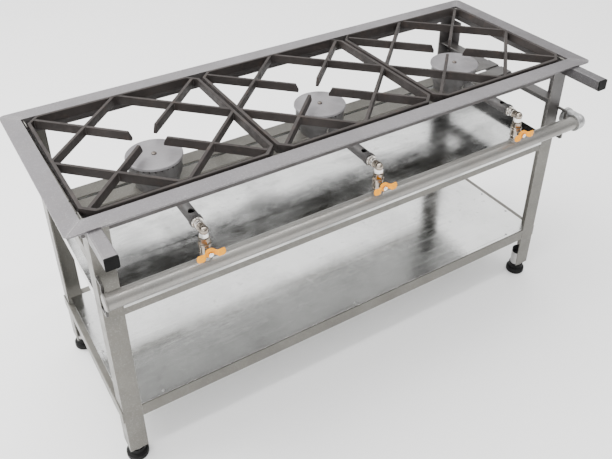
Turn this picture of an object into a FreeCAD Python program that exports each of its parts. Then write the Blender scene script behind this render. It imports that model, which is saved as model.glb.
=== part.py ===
"""Three-burner propane stand, in millimetres.

+Z is up, +X runs along the stand, -Y is the operator's side with the valves.
The origin is at the middle of the overall box, on the floor.
"""
import FreeCAD, Part
import math
import os

V = FreeCAD.Vector

# Overall frame
frame_length = 1300.0
frame_depth = 485.0
frame_height = 682.0
frame_centre_y = 41.5
flange_width = 38.0
flange_thickness = 4.0
skirt_height = 38.0
corner_radius = 12.0

# Angle-iron legs and rails
leg_x = 607.0
leg_half_depth = 211.5
leg_width = 41.5
angle_thickness = 3.0
root_radius = 2.5
leg_bottom = 37.0
lower_rail_top = 167.0
lower_rail_width = 32.0
mid_rail_bottom = 435.0
mid_rail_height = 25.0
mid_rail_width = 32.0
upper_rail_top = 579.0
upper_rail_width = 32.0
burner_rail_width = 38.0
burner_rail_gap = 10.0
burner_rail_gap_y = 42.0
burner_rail_drop = 28.0
rail_end_clearance = 0.5

# Sheets
sheet = 1.0
shelf_half_length = 597.0
shelf_rear_y = 232.0
tray_half_length = 601.0
tray_fold = 8.0
tray_hem = 22.0

# Rivets
rivet_radius = 1.6
rivet_head_radius = 3.6
rivet_head_height = 1.2
rivet_tail_radius = 2.6

# Side arms
arm_size = 26.0
arm_wall = 2.0
arm_inner_x = 585.0
arm_front_y = -284.0
arm_cap_face = 3.0
arm_cap_depth = 14.0

# Grates
grate_pitch = 405.5
grate_half = 199.0
grate_corner = 24.0
bar_thickness = 7.0
grate_bottom = 665.0
grate_top = 685.0
diamond_half = 200.0
tip_top_radius = 43.0
tip_radius = 36.0
tip_shoulder = 671.0
ledge_height = 5.0
ledge_depth = 12.0

# Burners
burner_y = 15.0
burner_base_radius = 46.0
burner_radius = 56.0
burner_wall = 4.5
burner_rim = 644.0
port_count = 28
port_width = 3.0
port_depth = 4.5
cap_radius = 60.0
cap_top = 652.0
screw_radius = 3.0
tube_axis_z = 608.0
tube_radius = 12.3
tube_bore = 9.5
tube_mouth_y = -185.0
air_hole_y = -163.0
air_hole_radius = 7.2

# Gas line
pipe_y = -215.0
pipe_z = 525.0
pipe_radius = 16.8
pipe_bore = 13.6
pipe_left = -607.0
pipe_right = 620.0
elbow_x = 628.0
elbow_radius = 20.0
elbow_bead = 21.8
elbow_mouth_y = -177.0
elbow_thread = 15.1
thread_length = 14.0
boss_radius = 11.0
boss_top = 549.0
gas_bore = 3.5

# Valves
ball_z = 567.0
ball_radius = 7.0
ball_clearance = 0.05
barrel_radius = 12.0
barrel_bottom = 555.5
barrel_top = 580.0
bonnet_end_y = -231.5
stem_radius = 3.0
hub_front_y = -240.0
wing_span = 30.0

# Feet
sleeve_radius = 16.85
sleeve_bore = 13.8
sleeve_bottom = 30.0
sleeve_top = 70.0
plug_top = 82.0
foot_radius = 25.0


def box(x0, x1, y0, y1, z0, z1):
    return Part.makeBox(x1 - x0, y1 - y0, z1 - z0, V(x0, y0, z0))


def cyl(radius, start, end):
    axis = end - start
    return Part.makeCylinder(radius, axis.Length, start, axis)


def prism(points, z0, z1):
    wire = Part.makePolygon([V(x, y, z0) for x, y in points + points[:1]])
    return Part.Face(wire).extrude(V(0, 0, z1 - z0))


def extrude_x(profile, x0, x1):
    """Extrude a list of (y, z) points along X."""
    wire = Part.makePolygon([V(x0, y, z) for y, z in profile + profile[:1]])
    return Part.Face(wire).extrude(V(x1 - x0, 0, 0))


def extrude_y(profile, y0, y1):
    """Extrude a list of (x, z) points along Y."""
    wire = Part.makePolygon([V(x, y0, z) for x, z in profile + profile[:1]])
    return Part.Face(wire).extrude(V(0, y1 - y0, 0))


def angle_profile(corner_u, corner_v, leg_u, leg_v, t=angle_thickness):
    """L section with its outer corner at (corner_u, corner_v); leg signs give direction."""
    su = math.copysign(1.0, leg_u)
    sv = math.copysign(1.0, leg_v)
    return [
        (corner_u, corner_v),
        (corner_u + leg_u, corner_v),
        (corner_u + leg_u, corner_v + sv * t),
        (corner_u + su * t, corner_v + sv * t),
        (corner_u + su * t, corner_v + leg_v),
        (corner_u, corner_v + leg_v),
    ]


def fillet_along(shape, direction, points, radius):
    """Fillet the straight edges along a direction that pass through the given points."""
    picked = []
    for edge in shape.Edges:
        a = edge.Vertexes[0].Point
        b = edge.Vertexes[-1].Point
        run = b - a
        if run.Length < 1.0 or abs(abs(run.normalize().dot(direction)) - 1.0) > 1e-6:
            continue
        for p in points:
            if edge.distToShape(Part.Vertex(p))[0] < 0.01:
                picked.append(edge)
                break
    return shape.makeFillet(radius, picked) if picked else shape


def hexagon(across_flats, centre, axis, length):
    """Hexagonal bar starting at centre and running along axis."""
    r = across_flats / math.sqrt(3.0)
    z = axis.normalize()
    ref = V(1, 0, 0) if abs(z.x) < 0.9 else V(0, 1, 0)
    u = z.cross(ref).normalize()
    w = z.cross(u)
    ring = []
    for k in range(7):
        a = math.radians(60.0 * k)
        ring.append(centre + u * (r * math.cos(a)) + w * (r * math.sin(a)))
    bar = Part.Face(Part.makePolygon(ring)).extrude(z * length)
    round_bar = Part.makeCylinder(r * 0.965, length, centre, z)
    return bar.common(round_bar)


def revolve_z(profile, x, y):
    """Revolve a closed list of (r, z) points about the vertical through (x, y)."""
    wire = Part.makePolygon([V(x + r, y, z) for r, z in profile + profile[:1]])
    return Part.Face(wire).revolve(V(x, y, 0), V(0, 0, 1), 360)


def revolve_y(profile, x, z):
    """Revolve a closed list of (r, y) points about the line along Y through (x, z)."""
    wire = Part.makePolygon([V(x + r, y, z) for r, y in profile + profile[:1]])
    return Part.Face(wire).revolve(V(x, 0, z), V(0, 1, 0), 360)


def revolve_x(profile, y, z):
    """Revolve a closed list of (r, x) points about the line along X through (y, z)."""
    wire = Part.makePolygon([V(x, y, z + r) for r, x in profile + profile[:1]])
    return Part.Face(wire).revolve(V(0, y, z), V(1, 0, 0), 360)


def fuse(first, *others):
    return first.fuse(list(others)).removeSplitter()


nodes = {}
outer_x = frame_length / 2
outer_y = frame_depth / 2
inner_x = outer_x - flange_width
inner_y = outer_y - flange_width
flange_bottom = frame_height - flange_thickness
skirt_bottom = frame_height - skirt_height
front_plane = frame_centre_y - leg_half_depth
rear_plane = frame_centre_y + leg_half_depth
rail_end_x = leg_x - leg_width


# --- Top frame: mitred angle iron, skirt hanging from the opening's edge ---
def make_top_frame():
    plate = box(-outer_x, outer_x, frame_centre_y - outer_y, frame_centre_y + outer_y,
                flange_bottom, frame_height)
    corners = [V(sx * outer_x, frame_centre_y + sy * outer_y, flange_bottom)
               for sx in (-1, 1) for sy in (-1, 1)]
    plate = fillet_along(plate, V(0, 0, 1), corners, corner_radius)
    sx = inner_x + flange_thickness
    sy = inner_y + flange_thickness
    skirt = box(-sx, sx, frame_centre_y - sy, frame_centre_y + sy, skirt_bottom, flange_bottom)
    hole = box(-inner_x, inner_x, frame_centre_y - inner_y, frame_centre_y + inner_y,
               skirt_bottom, frame_height)
    ring = fuse(plate, skirt).cut(hole)
    reach = 900.0
    mid = outer_x - outer_y
    out = reach - mid
    cy = frame_centre_y
    wedges = {
        "front": [(-mid, cy), (-reach, cy - out), (reach, cy - out), (mid, cy)],
        "rear": [(-mid, cy), (mid, cy), (reach, cy + out), (-reach, cy + out)],
        "left": [(-mid, cy), (-reach, cy + out), (-reach, cy - out)],
        "right": [(mid, cy), (reach, cy - out), (reach, cy + out)],
    }
    for side, points in wedges.items():
        wedge = prism(points, skirt_bottom - 1, frame_height + 1)
        nodes["top_frame_" + side] = ring.common(wedge)


make_top_frame()

# Ledges welded inside the skirt carry the grates
ledges = []
for s in (-1, 1):
    face_y = frame_centre_y + s * inner_y
    ys = sorted((face_y, face_y - s * ledge_depth))
    ledges.append(box(-inner_x, inner_x, ys[0], ys[1], grate_bottom - ledge_height, grate_bottom))
nodes["grate_ledges"] = Part.makeCompound(ledges)


# --- Legs: L section, notched so the outer flange climbs beside the skirt ---
def make_leg(sx, sy):
    cx = sx * leg_x
    cy = frame_centre_y + sy * leg_half_depth
    points = angle_profile(cx, cy, -sx * leg_width, -sy * leg_width)
    low = prism(points, leg_bottom, skirt_bottom)
    root = V(cx - sx * angle_thickness, cy - sy * angle_thickness, leg_bottom)
    low = fillet_along(low, V(0, 0, 1), [root], root_radius)
    xs = sorted((cx, cx - sx * leg_width))
    ys = sorted((cy, cy - sy * angle_thickness))
    tongue = box(xs[0], xs[1], ys[0], ys[1], skirt_bottom, flange_bottom)
    return fuse(low, tongue)


for sx, side in ((-1, "left"), (1, "right")):
    for sy, end in ((-1, "front"), (1, "rear")):
        nodes["leg_%s_%s" % (end, side)] = make_leg(sx, sy)

# --- Side arms: square tubes under the front flange, closed by black plastic plugs ---
arm_caps = []
for sx, side in ((-1, "left"), (1, "right")):
    xs = sorted((sx * arm_inner_x, sx * (arm_inner_x + arm_size)))
    zs = (flange_bottom - arm_size, flange_bottom)
    tube_end = arm_front_y + arm_cap_face
    corners = [(x, z) for x in xs for z in zs]
    outer = box(xs[0], xs[1], tube_end, front_plane, zs[0], zs[1])
    outer = fillet_along(outer, V(0, 1, 0), [V(x, tube_end, z) for x, z in corners], 2.5)
    inside = (xs[0] + arm_wall, xs[1] - arm_wall, zs[0] + arm_wall, zs[1] - arm_wall)
    bore = box(inside[0], inside[1], tube_end - 1, front_plane + 1, inside[2], inside[3])
    nodes["side_arm_" + side] = outer.cut(bore)
    face = box(xs[0], xs[1], arm_front_y, tube_end, zs[0], zs[1])
    face = fillet_along(face, V(0, 1, 0), [V(x, arm_front_y, z) for x, z in corners], 2.5)
    spigot = box(inside[0], inside[1], tube_end, tube_end + arm_cap_depth, inside[2], inside[3])
    arm_caps.append(fuse(face, spigot))
nodes["arm_end_caps"] = Part.makeCompound(arm_caps)

# --- Upper side rails and the two burner rails that rest on them ---
leg_inner_x = leg_x - angle_thickness
leg_inner_front = front_plane + angle_thickness
leg_inner_rear = rear_plane - angle_thickness
for sx, side in ((-1, "left"), (1, "right")):
    section = angle_profile(sx * leg_inner_x, upper_rail_top, -sx * upper_rail_width,
                            -upper_rail_width)
    rail = extrude_y(section, leg_inner_front + root_radius, leg_inner_rear - root_radius)
    root = V(sx * (leg_inner_x - angle_thickness), leg_inner_front + root_radius,
             upper_rail_top - angle_thickness)
    nodes["upper_side_rail_" + side] = fillet_along(rail, V(0, 1, 0), [root], root_radius)

burner_rail_top = upper_rail_top + angle_thickness
for sy, end in ((-1, "front"), (1, "rear")):
    edge_y = burner_rail_gap_y + sy * burner_rail_gap / 2
    ys = sorted((edge_y, edge_y + sy * burner_rail_width))
    flat = box(-leg_inner_x + rail_end_clearance, leg_inner_x - rail_end_clearance, ys[0], ys[1],
               upper_rail_top, burner_rail_top)
    half = leg_inner_x - upper_rail_width - rail_end_clearance
    outer_y = edge_y + sy * burner_rail_width
    ys = sorted((outer_y, outer_y - sy * angle_thickness))
    web = box(-half, half, ys[0], ys[1], burner_rail_top - burner_rail_drop, upper_rail_top)
    nodes["burner_rail_" + end] = fuse(flat, web)

# --- Middle rails, with the folded drip tray hooked over their top edges ---
mid_rail_top = mid_rail_bottom + mid_rail_height
for sy, end, plane in ((-1, "front", front_plane), (1, "rear", rear_plane)):
    section = angle_profile(plane, mid_rail_bottom, -sy * mid_rail_width, mid_rail_height)
    nodes["mid_rail_" + end] = extrude_x(section, -rail_end_x, rail_end_x)

tray_floor = mid_rail_bottom + angle_thickness
tray_parts = [box(-tray_half_length, tray_half_length, leg_inner_front, leg_inner_rear,
                  tray_floor, tray_floor + sheet)]
for sy, plane in ((-1, front_plane), (1, rear_plane)):
    inside = plane - sy * angle_thickness
    outside = plane + sy * sheet
    ys = sorted((inside, inside - sy * sheet))
    tray_parts.append(box(-tray_half_length, tray_half_length, ys[0], ys[1],
                          tray_floor, mid_rail_top + sheet))
    ys = sorted((outside, inside - sy * sheet))
    tray_parts.append(box(-rail_end_x, rail_end_x, ys[0], ys[1],
                          mid_rail_top, mid_rail_top + sheet))
    ys = sorted((outside, plane))
    tray_parts.append(box(-rail_end_x, rail_end_x, ys[0], ys[1],
                          mid_rail_top - tray_fold + sheet, mid_rail_top + sheet))
for sx in (-1, 1):
    xs = sorted((sx * tray_half_length, sx * (tray_half_length - sheet)))
    tray_parts.append(box(xs[0], xs[1], leg_inner_front, leg_inner_rear,
                          tray_floor, tray_floor + tray_hem))
nodes["drip_tray"] = fuse(*tray_parts)

# --- Lower rails, shelf and rivets ---
shelf_top = lower_rail_top + sheet
rivet_sites = []
for x in (-511.0, 0.0, 511.0):
    rivet_sites.append((x, front_plane + 12.0))
    rivet_sites.append((x, rear_plane - 26.0))
for sx in (-1, 1):
    for y in (-79.0, 20.0, 120.0):
        rivet_sites.append((sx * 588.0, y))


def rivet_holes(bottom, top):
    return Part.makeCompound([cyl(rivet_radius, V(x, y, bottom), V(x, y, top))
                              for x, y in rivet_sites])


holes = rivet_holes(lower_rail_top - angle_thickness - 1, shelf_top + 1)
for sy, end, plane in ((-1, "front", front_plane), (1, "rear", rear_plane)):
    section = angle_profile(plane, lower_rail_top, -sy * lower_rail_width, -lower_rail_width)
    rail = extrude_x(section, -rail_end_x, rail_end_x)
    root = V(-rail_end_x, plane - sy * angle_thickness, lower_rail_top - angle_thickness)
    rail = fillet_along(rail, V(1, 0, 0), [root], root_radius)
    nodes["lower_rail_" + end] = rail.cut(holes)

for sx, side in ((-1, "left"), (1, "right")):
    xs = sorted((sx * leg_x, sx * (leg_x + angle_thickness)))
    web = box(xs[0], xs[1], front_plane, rear_plane, lower_rail_top - lower_rail_width,
              lower_rail_top)
    xs = sorted((sx * leg_x, sx * (leg_x + angle_thickness - lower_rail_width)))
    flat = box(xs[0], xs[1], front_plane + leg_width, rear_plane - leg_width,
               lower_rail_top - angle_thickness, lower_rail_top)
    nodes["lower_rail_" + side] = fuse(web, flat).cut(holes)

shelf = box(-shelf_half_length, shelf_half_length, leg_inner_front, shelf_rear_y,
            lower_rail_top, shelf_top)
nodes["lower_shelf"] = shelf.cut(holes)

rivets = []
under = lower_rail_top - angle_thickness
for x, y in rivet_sites:
    profile = [(0, under - 1.2), (rivet_tail_radius, under - 1.2), (rivet_tail_radius, under),
               (rivet_radius, under), (rivet_radius, shelf_top), (rivet_head_radius, shelf_top),
               (rivet_head_radius * 0.75, shelf_top + rivet_head_height * 0.8),
               (rivet_head_radius * 0.3, shelf_top + rivet_head_height),
               (0, shelf_top + rivet_head_height)]
    rivets.append(revolve_z(profile, x, y))
nodes["shelf_rivets"] = Part.makeCompound(rivets)

# --- Feet: steel sleeve in each leg's corner, plug above, rubber foot below ---
sleeves = []
plugs = []
feet = []
for sx in (-1, 1):
    for sy in (-1, 1):
        x = sx * (leg_inner_x - sleeve_radius)
        y = frame_centre_y + sy * (leg_half_depth - angle_thickness - sleeve_radius)
        tube = cyl(sleeve_radius, V(x, y, sleeve_bottom), V(x, y, sleeve_top))
        sleeves.append(tube.cut(cyl(sleeve_bore, V(x, y, 0), V(x, y, 200))))
        plugs.append(revolve_z([(0, sleeve_top - 12), (sleeve_bore, sleeve_top - 12),
                                (sleeve_bore, sleeve_top), (sleeve_radius - 0.3, sleeve_top),
                                (sleeve_radius - 0.3, plug_top - 3),
                                (sleeve_radius - 4, plug_top), (0, plug_top)], x, y))
        feet.append(revolve_z([(0, 0), (foot_radius - 2, 0), (foot_radius, 3),
                               (foot_radius, 13), (foot_radius - 2, 16),
                               (sleeve_radius + 2.6, 17), (sleeve_radius + 2.6, sleeve_bottom),
                               (sleeve_bore, sleeve_bottom), (sleeve_bore, sleeve_bottom + 24),
                               (0, sleeve_bottom + 24)], x, y))
nodes["foot_sleeves"] = Part.makeCompound(sleeves)
nodes["foot_plugs"] = Part.makeCompound(plugs)
nodes["rubber_feet"] = Part.makeCompound(feet)


# --- Grates: flat bars on edge, butt-welded in a square-and-diamond pattern ---
def make_grate(cx):
    cy = frame_centre_y
    t = bar_thickness
    h = grate_half
    side_in = h - t
    chamfer_out = (2 * h - grate_corner) / math.sqrt(2.0)
    chamfer_in = chamfer_out - t
    a = h - grate_corner
    b = chamfer_in * math.sqrt(2.0) - side_in
    bars = []
    side = [(h, -a), (h, a), (side_in, b), (side_in, -b)]
    corner = [(h, a), (a, h), (b, side_in), (side_in, b)]
    near = diamond_half / math.sqrt(2.0) - t / 2
    far = near + t
    quadrant = box(0, side_in, 0, side_in, grate_bottom, grate_top)
    strip = box(near, far, -h, h, grate_bottom, grate_top)
    strip.rotate(V(0, 0, 0), V(0, 0, 1), 45)
    diamond = strip.common(quadrant)
    inner_profile = [(tip_radius, grate_bottom), (near, grate_bottom), (near, grate_top),
                     (tip_top_radius, grate_top), (tip_radius, tip_shoulder)]
    inner_finger = extrude_y(inner_profile, -t / 2, t / 2)
    inner_finger.rotate(V(0, 0, 0), V(0, 0, 1), 45)
    outer_finger = box(far, chamfer_in, -t / 2, t / 2, grate_bottom, grate_top)
    outer_finger.rotate(V(0, 0, 0), V(0, 0, 1), 45)
    quarter = [prism(side, grate_bottom, grate_top), prism(corner, grate_bottom, grate_top),
               diamond, inner_finger, outer_finger]
    for k in range(4):
        for piece in quarter:
            bar = piece.copy()
            bar.rotate(V(0, 0, 0), V(0, 0, 1), 90 * k)
            bar.translate(V(cx, cy, 0))
            bars.append(bar)
    return Part.makeCompound(bars)


# --- Burner: cast bowl with its mixing tube, slotted rim, cap and screw ---
def make_burner_body(cx):
    base = burner_rail_top
    wall = burner_wall
    outer = [(0, base), (burner_base_radius, base), (burner_base_radius, base + 6),
             (burner_radius, base + 34), (burner_radius, burner_rim), (0, burner_rim)]
    inner = [(0, base + wall), (burner_base_radius - wall, base + wall),
             (burner_base_radius - wall, base + 8), (burner_radius - wall, base + 34),
             (burner_radius - wall, burner_rim + 1), (0, burner_rim + 1)]
    bowl = revolve_z(outer, cx, burner_y)
    cavity = revolve_z(inner, cx, burner_y)
    start_y = burner_y - burner_base_radius + wall
    tube = cyl(tube_radius, V(cx, start_y, tube_axis_z), V(cx, tube_mouth_y, tube_axis_z))
    collar = cyl(tube_radius + 1.6, V(cx, tube_mouth_y, tube_axis_z),
                 V(cx, tube_mouth_y + 7, tube_axis_z))
    boss = cyl(9.0, V(cx, burner_y, base + 1), V(cx, burner_y, burner_rim))
    body = bowl.fuse([tube, collar]).cut(cavity).fuse(boss)
    bore = cyl(tube_bore, V(cx, tube_mouth_y - 1, tube_axis_z), V(cx, start_y + 8, tube_axis_z))
    body = body.cut(bore)
    air = cyl(air_hole_radius, V(cx, air_hole_y, tube_axis_z),
              V(cx, air_hole_y, tube_axis_z + 14))
    screw = cyl(screw_radius, V(cx, burner_y, burner_rim - 20), V(cx, burner_y, burner_rim + 1))
    body = body.cut(air).cut(screw)
    slots = []
    for k in range(port_count):
        slot = box(burner_radius - 2 * wall, burner_radius + 2, -port_width / 2, port_width / 2,
                   burner_rim - port_depth, burner_rim + 1)
        slot.rotate(V(0, 0, 0), V(0, 0, 1), 360.0 * (k + 0.5) / port_count)
        slot.translate(V(cx, burner_y, 0))
        slots.append(slot)
    return body.cut(Part.makeCompound(slots))


def make_burner_cap(cx):
    profile = [(screw_radius + 0.3, burner_rim), (cap_radius - 3, burner_rim),
               (cap_radius, burner_rim + 2.5), (cap_radius, cap_top - 1.5),
               (cap_radius - 1.5, cap_top), (screw_radius + 0.3, cap_top)]
    return revolve_z(profile, cx, burner_y)


def make_cap_screw(cx):
    profile = [(0, burner_rim - 18), (screw_radius, burner_rim - 18), (screw_radius, cap_top),
               (5.5, cap_top), (5.5, cap_top + 2.2), (3.8, cap_top + 3.6), (0, cap_top + 3.6)]
    return revolve_z(profile, cx, burner_y)


# --- Injector, outlet elbow and ball valve ---
def make_injector(cx):
    profile = [(0.6, tube_mouth_y - 16), (9.0, tube_mouth_y - 16), (9.6, tube_mouth_y - 15),
               (9.6, tube_mouth_y - 9.5), (7.2, tube_mouth_y - 9), (7.2, tube_mouth_y - 5.5),
               (11.4, tube_mouth_y - 5), (12.0, tube_mouth_y - 4), (12.0, tube_mouth_y - 1),
               (11.4, tube_mouth_y), (tube_bore, tube_mouth_y), (tube_bore, tube_mouth_y + 8),
               (4.0, tube_mouth_y + 12), (0.6, tube_mouth_y + 12)]
    return revolve_y(profile, cx, tube_axis_z)


def make_outlet_elbow(cx):
    centre = V(cx, pipe_y, tube_axis_z)
    face = V(cx, tube_mouth_y - 16, tube_axis_z)
    ball = Part.makeSphere(9.8, centre)
    arm = cyl(8.2, centre, face)
    neck = cyl(8.0, centre, V(cx, pipe_y, barrel_top + 10))
    nut = hexagon(20.0, V(cx, pipe_y, barrel_top), V(0, 0, 1), 12.0)
    spigot = cyl(ball_radius - 0.4, V(cx, pipe_y, ball_z + ball_radius + 1),
                 V(cx, pipe_y, barrel_top + 1))
    solid = fuse(ball, arm, neck, nut, spigot)
    down = cyl(gas_bore, V(cx, pipe_y, ball_z), centre)
    across = cyl(gas_bore, centre, V(cx, tube_mouth_y, tube_axis_z))
    return solid.cut(fuse(down, across, Part.makeSphere(gas_bore, centre)))


def make_valve_body(cx):
    bottom = boss_top - 6.0
    thread = cyl(6.4, V(cx, pipe_y, bottom), V(cx, pipe_y, boss_top + 1))
    foot = hexagon(18.0, V(cx, pipe_y, boss_top), V(0, 0, 1), barrel_bottom - boss_top)
    barrel = cyl(barrel_radius, V(cx, pipe_y, barrel_bottom), V(cx, pipe_y, barrel_top))
    bonnet = cyl(6.0, V(cx, pipe_y, ball_z), V(cx, bonnet_end_y, ball_z))
    gland = hexagon(13.0, V(cx, bonnet_end_y + 4.5, ball_z), V(0, -1, 0), 3.5)
    solid = fuse(thread, foot, barrel, bonnet, gland)
    seat = ball_radius + ball_clearance
    cavity = Part.makeSphere(seat, V(cx, pipe_y, ball_z))
    upper = cyl(ball_radius - 0.4, V(cx, pipe_y, ball_z + ball_radius - 1),
                V(cx, pipe_y, barrel_top + 1))
    port = cyl(gas_bore, V(cx, pipe_y, bottom - 1), V(cx, pipe_y, ball_z))
    stem = cyl(stem_radius + ball_clearance, V(cx, pipe_y, ball_z),
               V(cx, bonnet_end_y - 1, ball_z))
    return solid.cut(fuse(cavity, upper, port, stem))


def make_valve_plug(cx):
    centre = V(cx, pipe_y, ball_z)
    ball = Part.makeSphere(ball_radius, centre)
    stem = cyl(stem_radius, centre, V(cx, hub_front_y, ball_z))
    tip = cyl(2.2, V(cx, hub_front_y, ball_z), V(cx, hub_front_y - 4.5, ball_z))
    port = cyl(gas_bore, V(cx - 10, pipe_y, ball_z), V(cx + 10, pipe_y, ball_z))
    return fuse(ball, stem, tip).cut(port)


def make_valve_handle(cx):
    """Butterfly handle: round hub and two wings, crosswise to the flow when closed."""
    back = bonnet_end_y - 0.6
    hub = cyl(8.2, V(cx, back, ball_z), V(cx, hub_front_y, ball_z))
    wings = []
    for s in (-1, 1):
        outline = [(0, 5.0), (s * 9, 5.6), (s * 15, 6.6), (s * 22, 7.2), (s * 26.5, 5.8),
                   (s * wing_span, 2.2), (s * wing_span, -2.2), (s * 26.5, -5.8),
                   (s * 22, -7.2), (s * 15, -6.6), (s * 9, -5.6), (0, -5.0)]
        points = [(cx + u, ball_z + v) for u, v in outline]
        wings.append(extrude_y(points, hub_front_y + 1.0, hub_front_y + 5.5))
    bore = cyl(stem_radius, V(cx, back + 1, ball_z), V(cx, hub_front_y - 1, ball_z))
    return fuse(hub, *wings).cut(bore)


def make_handle_nut(cx):
    nut = hexagon(9.0, V(cx, hub_front_y, ball_z), V(0, -1, 0), 3.4)
    return nut.cut(cyl(2.2, V(cx, hub_front_y + 1, ball_z), V(cx, hub_front_y - 5, ball_z)))


burner_sites = ((-grate_pitch, "left"), (0.0, "centre"), (grate_pitch, "right"))
for cx, name in burner_sites:
    nodes["grate_" + name] = make_grate(cx)
    nodes["burner_body_" + name] = make_burner_body(cx)
    nodes["burner_cap_" + name] = make_burner_cap(cx)
    nodes["outlet_elbow_" + name] = make_outlet_elbow(cx)
    nodes["valve_body_" + name] = make_valve_body(cx)
    nodes["valve_plug_" + name] = make_valve_plug(cx)
    nodes["valve_handle_" + name] = make_valve_handle(cx)
    nodes["handle_nut_" + name] = make_handle_nut(cx)
nodes["cap_screws"] = Part.makeCompound([make_cap_screw(cx) for cx, _ in burner_sites])
nodes["injectors"] = Part.makeCompound([make_injector(cx) for cx, _ in burner_sites])

# --- Gas manifold across the front, its bosses, end cap, inlet elbow and brackets ---
pipe_axis = [V(pipe_left, pipe_y, pipe_z), V(pipe_right, pipe_y, pipe_z)]
pipe = cyl(pipe_radius, *pipe_axis).cut(cyl(pipe_bore, *pipe_axis))
bosses = []
for cx, _ in burner_sites:
    drill = cyl(6.4, V(cx, pipe_y, pipe_z), V(cx, pipe_y, boss_top + 1))
    pipe = pipe.cut(drill)
    boss = cyl(boss_radius, V(cx, pipe_y, pipe_z), V(cx, pipe_y, boss_top))
    bosses.append(boss.cut(cyl(pipe_radius, *pipe_axis)).cut(drill))
nodes["gas_manifold"] = pipe
nodes["valve_bosses"] = Part.makeCompound(bosses)
nodes["manifold_cap"] = revolve_x([(0, pipe_left), (pipe_radius, pipe_left),
                                   (pipe_radius, pipe_left - 2), (pipe_radius - 1, pipe_left - 3),
                                   (0, pipe_left - 3)], pipe_y, pipe_z)


def make_inlet_elbow():
    corner = V(elbow_x, pipe_y, pipe_z)
    mouth = V(elbow_x, elbow_mouth_y, pipe_z)
    entry = V(pipe_right - 8, pipe_y, pipe_z)
    knuckle = Part.makeSphere(elbow_radius + 0.6, corner)
    solid = fuse(knuckle, cyl(elbow_radius, entry, corner), cyl(elbow_radius, corner, mouth),
                 cyl(elbow_bead, entry, entry + V(7, 0, 0)),
                 cyl(elbow_bead, mouth - V(0, 8, 0), mouth))
    passage = fuse(cyl(pipe_bore, V(pipe_right - 1, pipe_y, pipe_z), corner),
                   Part.makeSphere(pipe_bore, corner), cyl(pipe_bore, corner, mouth))
    socket = cyl(pipe_radius, entry - V(8, 0, 0), V(pipe_right, pipe_y, pipe_z))
    thread = cyl(elbow_thread, mouth - V(0, thread_length, 0), mouth + V(0, 1, 0))
    return solid.cut(fuse(passage, socket)).cut(thread)


nodes["inlet_elbow"] = make_inlet_elbow()

# C-shaped straps weld the manifold to the front legs
bracket_bar = 5.0
bracket_width = 6.0
bracket_front = pipe_y + pipe_radius
bracket_low = 471.0
bracket_high = 554.0
brackets = []
for sx in (-1, 1):
    xs = sorted((sx * leg_x, sx * (leg_x - bracket_width)))
    outer = box(xs[0], xs[1], bracket_front, front_plane, bracket_low, bracket_high)
    gap = box(xs[0] - 1, xs[1] + 1, bracket_front + bracket_bar, front_plane + 1,
              bracket_low + bracket_bar, bracket_high - bracket_bar)
    strap = outer.cut(gap)
    strap = fillet_along(strap, V(1, 0, 0), [V(xs[0], bracket_front, z)
                                             for z in (bracket_low, bracket_high)], 4.0)
    brackets.append(strap)
nodes["pipe_brackets"] = Part.makeCompound(brackets)

os.makedirs("parts", exist_ok=True)
for name, shape in nodes.items():
    shape.exportStep("parts/%s.step" % name)
    print("%-26s solids %3d valid %s volume %.1f" % (name, len(shape.Solids), shape.isValid(),
                                                     shape.Volume))
total = Part.makeCompound(list(nodes.values())).BoundBox
print("nodes", len(nodes))
print("box X %.2f..%.2f Y %.2f..%.2f Z %.2f..%.2f" % (total.XMin, total.XMax, total.YMin,
                                                      total.YMax, total.ZMin, total.ZMax))
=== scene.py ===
"""Visual model of the three-burner propane stand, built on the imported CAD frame."""
import math

import bpy
import bmesh
from mathutils import Matrix, Vector


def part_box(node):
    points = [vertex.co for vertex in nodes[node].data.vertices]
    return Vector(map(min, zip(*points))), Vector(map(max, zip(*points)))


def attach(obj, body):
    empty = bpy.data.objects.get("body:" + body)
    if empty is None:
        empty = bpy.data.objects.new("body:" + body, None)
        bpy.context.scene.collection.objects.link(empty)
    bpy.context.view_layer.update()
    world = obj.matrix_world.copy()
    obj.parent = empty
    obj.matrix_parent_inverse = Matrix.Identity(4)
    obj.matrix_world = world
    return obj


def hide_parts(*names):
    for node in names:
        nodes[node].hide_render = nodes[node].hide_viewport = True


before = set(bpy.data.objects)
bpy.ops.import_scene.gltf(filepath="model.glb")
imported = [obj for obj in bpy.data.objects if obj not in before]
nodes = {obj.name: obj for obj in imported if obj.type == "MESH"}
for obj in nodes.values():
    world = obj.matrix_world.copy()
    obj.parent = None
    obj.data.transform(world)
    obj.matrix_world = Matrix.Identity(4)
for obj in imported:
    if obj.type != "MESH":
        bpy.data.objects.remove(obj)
bpy.context.view_layer.update()
scene = bpy.context.scene
SITES = ("left", "centre", "right")


def side_of(node, axis, end):
    """One coordinate of a CAD node's box: axis 0 to 2, end 0 for the lowest, 1 for the highest."""
    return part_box(node)[end][axis]


FRAME_HALF_X = side_of("top_frame_front", 0, 1)
FRAME_MIDDLE_Y = (side_of("top_frame_front", 1, 0) + side_of("top_frame_rear", 1, 1)) / 2
FRAME_HALF_Y = side_of("top_frame_rear", 1, 1) - FRAME_MIDDLE_Y
FRAME_TOP = side_of("top_frame_front", 2, 1)
TRAY_END = side_of("drip_tray", 0, 1)

# Where painted details start and stop, in metres: each mask fades between the two values
# Painted shade: a band along the drip tray's right end
HEM_SHADE_SPAN = (TRAY_END - 0.0018, TRAY_END - 0.0012)
# Painted shade inside the top frame: behind the skirt, and under the flange
BEHIND_SKIRT = (0.0030, 0.0038)
UNDER_FLANGE = (FRAME_TOP - 0.0018, FRAME_TOP - 0.0010)
FLANGE_END = (0.040, 0.042)
GROUND_PATCH = (0.006, 0.016)
MITRE_LINE = (0.0004, 0.0011)
# Painted shade towards the upper right: the right end (x) and the height above the pipe (z)
SHADE_SIDE_X = (0.42, 0.60)
SHADE_HEIGHT_Z = (0.44, 0.56)
UNDERSIDE = (-0.6, -0.3)

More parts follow.
